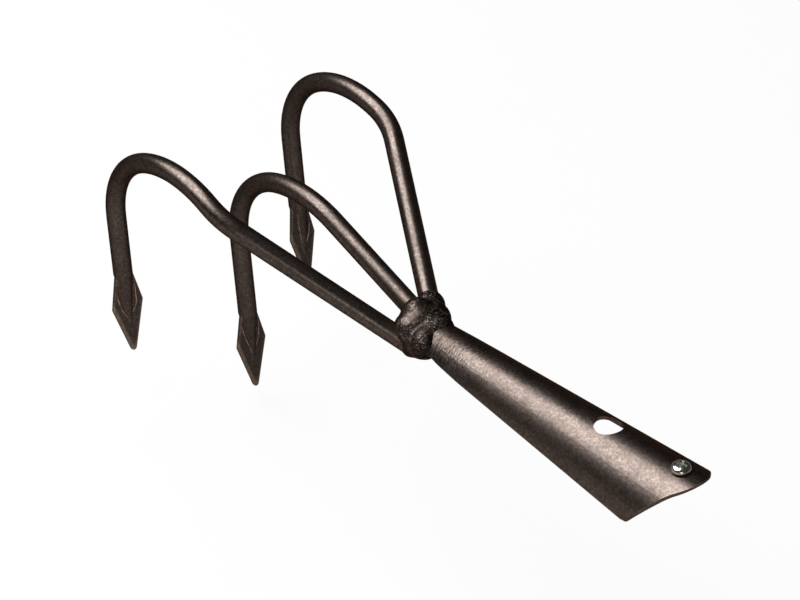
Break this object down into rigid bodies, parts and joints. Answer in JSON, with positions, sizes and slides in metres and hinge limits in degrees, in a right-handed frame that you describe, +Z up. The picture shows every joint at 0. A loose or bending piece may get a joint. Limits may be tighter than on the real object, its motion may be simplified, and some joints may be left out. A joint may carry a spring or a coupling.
{
  "type": "hand cultivator head",
  "caption": "Hand cultivator head: forged hook tines with flat arrow-shaped blades, welded to a tapered arch of bent sheet that takes a wooden handle.",
  "frame": {"origin": "on the handle's axis, in the plane of the tip of the socket's mouth", "axes": "+X along the handle and away from the tines, +Z up, away from the points of the tines, +Y to the right tine's side"},
  "size_m": [0.278, 0.1053, 0.1375],
  "materials": {
    "dark_steel": "dark brown-black oiled mill skin, satin, lightly burnished",
    "weld_steel": "lumpy dark weld metal, satin with a few bright ripples",
    "zinc_screw": "bright zinc plating"
  },
  "bodies": {
    "root": {"socket": "dark_steel", "centre_tine": "dark_steel", "left_tine": "dark_steel", "right_tine": "dark_steel", "weld": "weld_steel", "screw": "zinc_screw"}
  },
  "joints": []
}
